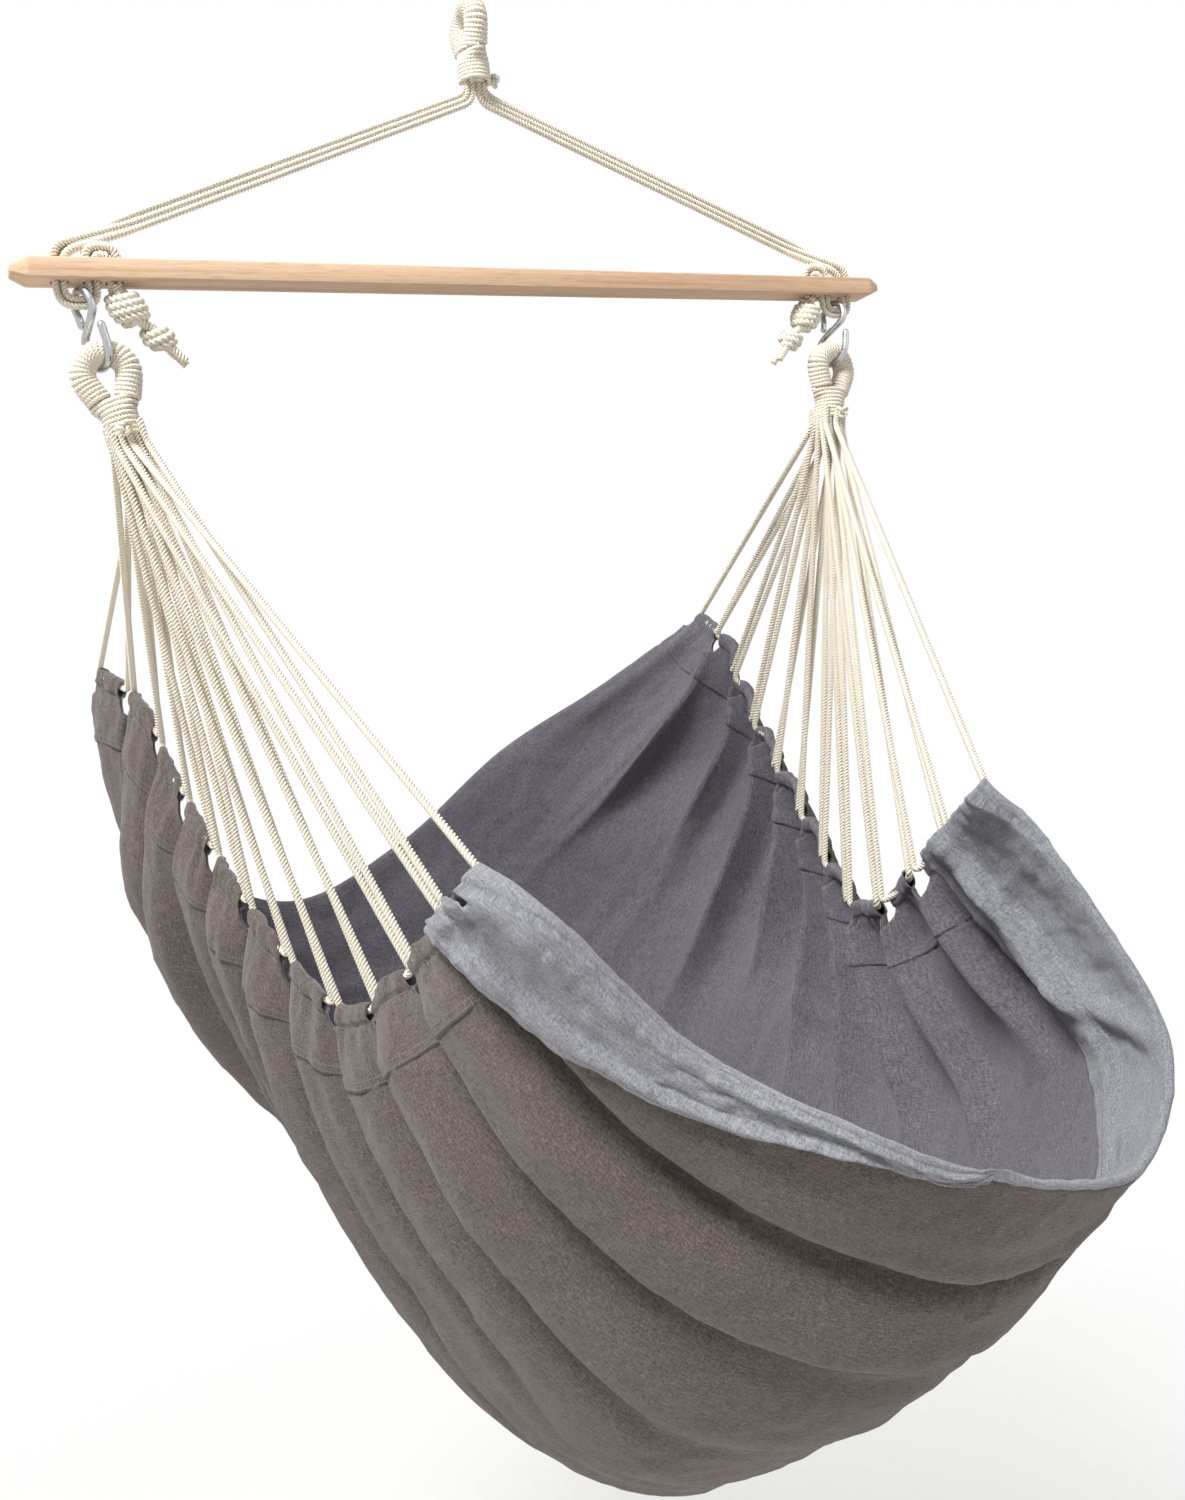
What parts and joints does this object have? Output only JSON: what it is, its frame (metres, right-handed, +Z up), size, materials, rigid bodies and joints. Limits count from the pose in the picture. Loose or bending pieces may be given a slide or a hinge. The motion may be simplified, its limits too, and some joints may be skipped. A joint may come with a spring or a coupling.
{
  "type": "hammock chair",
  "caption": "Hanging fabric chair: a seat cloth slung by two fans of cord from hooks under a wooden spreader bar, carried by a rope triangle with one top eye.",
  "frame": {"origin": "bearing point of the top eye, where the ceiling hook carries the chair", "axes": "+Z up along the line of pull, +X along the spreader bar, +Y towards the back of the seat"},
  "size_m": [1, 0.949, 1.5978],
  "materials": {
    "seat_fabric": "plain woven cotton, grey yarns flecked with lighter ones, softly creased",
    "cotton_cord": "undyed twisted cotton cord",
    "bar_wood": "pale hardwood, sanded, clear matt",
    "zinc_wire": "bright zinc-plated bent wire"
  },
  "bodies": {
    "frame": {"left_end_knot": "cotton_cord", "left_rope_end": "cotton_cord", "left_stopper_knot": "cotton_cord", "left_suspension_cord_1": "cotton_cord", "left_suspension_cord_2": "cotton_cord", "left_suspension_cord_3": "cotton_cord", "right_end_knot": "cotton_cord", "right_rope_end": "cotton_cord", "right_stopper_knot": "cotton_cord", "right_suspension_cord_1": "cotton_cord", "right_suspension_cord_2": "cotton_cord", "right_suspension_cord_3": "cotton_cord", "spreader_bar": "bar_wood", "top_eye_core": "cotton_cord", "top_eye_knot": "cotton_cord", "top_eye_neck_whipping": "cotton_cord", "top_eye_whipping": "cotton_cord"},
    "left_hook": {"left_hook": "zinc_wire"},
    "right_hook": {"right_hook": "zinc_wire"},
    "seat": {"left_eye_core": "cotton_cord", "left_eye_knot": "cotton_cord", "left_eye_neck_whipping": "cotton_cord", "left_eye_whipping": "cotton_cord", "left_header": "seat_fabric", "left_seat_cord_1": "cotton_cord", "left_seat_cord_10": "cotton_cord", "left_seat_cord_11": "cotton_cord", "left_seat_cord_2": "cotton_cord", "left_seat_cord_3": "cotton_cord", "left_seat_cord_4": "cotton_cord", "left_seat_cord_5": "cotton_cord", "left_seat_cord_6": "cotton_cord", "left_seat_cord_7": "cotton_cord", "left_seat_cord_8": "cotton_cord", "left_seat_cord_9": "cotton_cord", "right_eye_core": "cotton_cord", "right_eye_knot": "cotton_cord", "right_eye_neck_whipping": "cotton_cord", "right_eye_whipping": "cotton_cord", "right_header": "seat_fabric", "right_seat_cord_1": "cotton_cord", "right_seat_cord_10": "cotton_cord", "right_seat_cord_11": "cotton_cord", "right_seat_cord_2": "cotton_cord", "right_seat_cord_3": "cotton_cord", "right_seat_cord_4": "cotton_cord", "right_seat_cord_5": "cotton_cord", "right_seat_cord_6": "cotton_cord", "right_seat_cord_7": "cotton_cord", "right_seat_cord_8": "cotton_cord", "right_seat_cord_9": "cotton_cord", "seat_cloth": "seat_fabric"}
  },
  "joints": [
    {"name": "left_hook_swing", "type": "hinge", "parent": "frame", "child": "left_hook", "pos_m": [-0.4375, 0, -0.3155], "axis": [1, 0, 0], "range_deg": [-15, 15]},
    {"name": "right_hook_swing", "type": "hinge", "parent": "frame", "child": "right_hook", "pos_m": [0.4375, 0, -0.3155], "axis": [1, 0, 0], "range_deg": [-15, 15]},
    {"name": "seat_swing", "type": "hinge", "parent": "left_hook", "child": "seat", "pos_m": [-0.4283, 0, -0.36264], "axis": [1, 0, 0], "range_deg": [-30, 30]}
  ],
  "couplings": [
    {"joint": "right_hook_swing", "follows": "left_hook_swing", "ratio": 1}
  ]
}
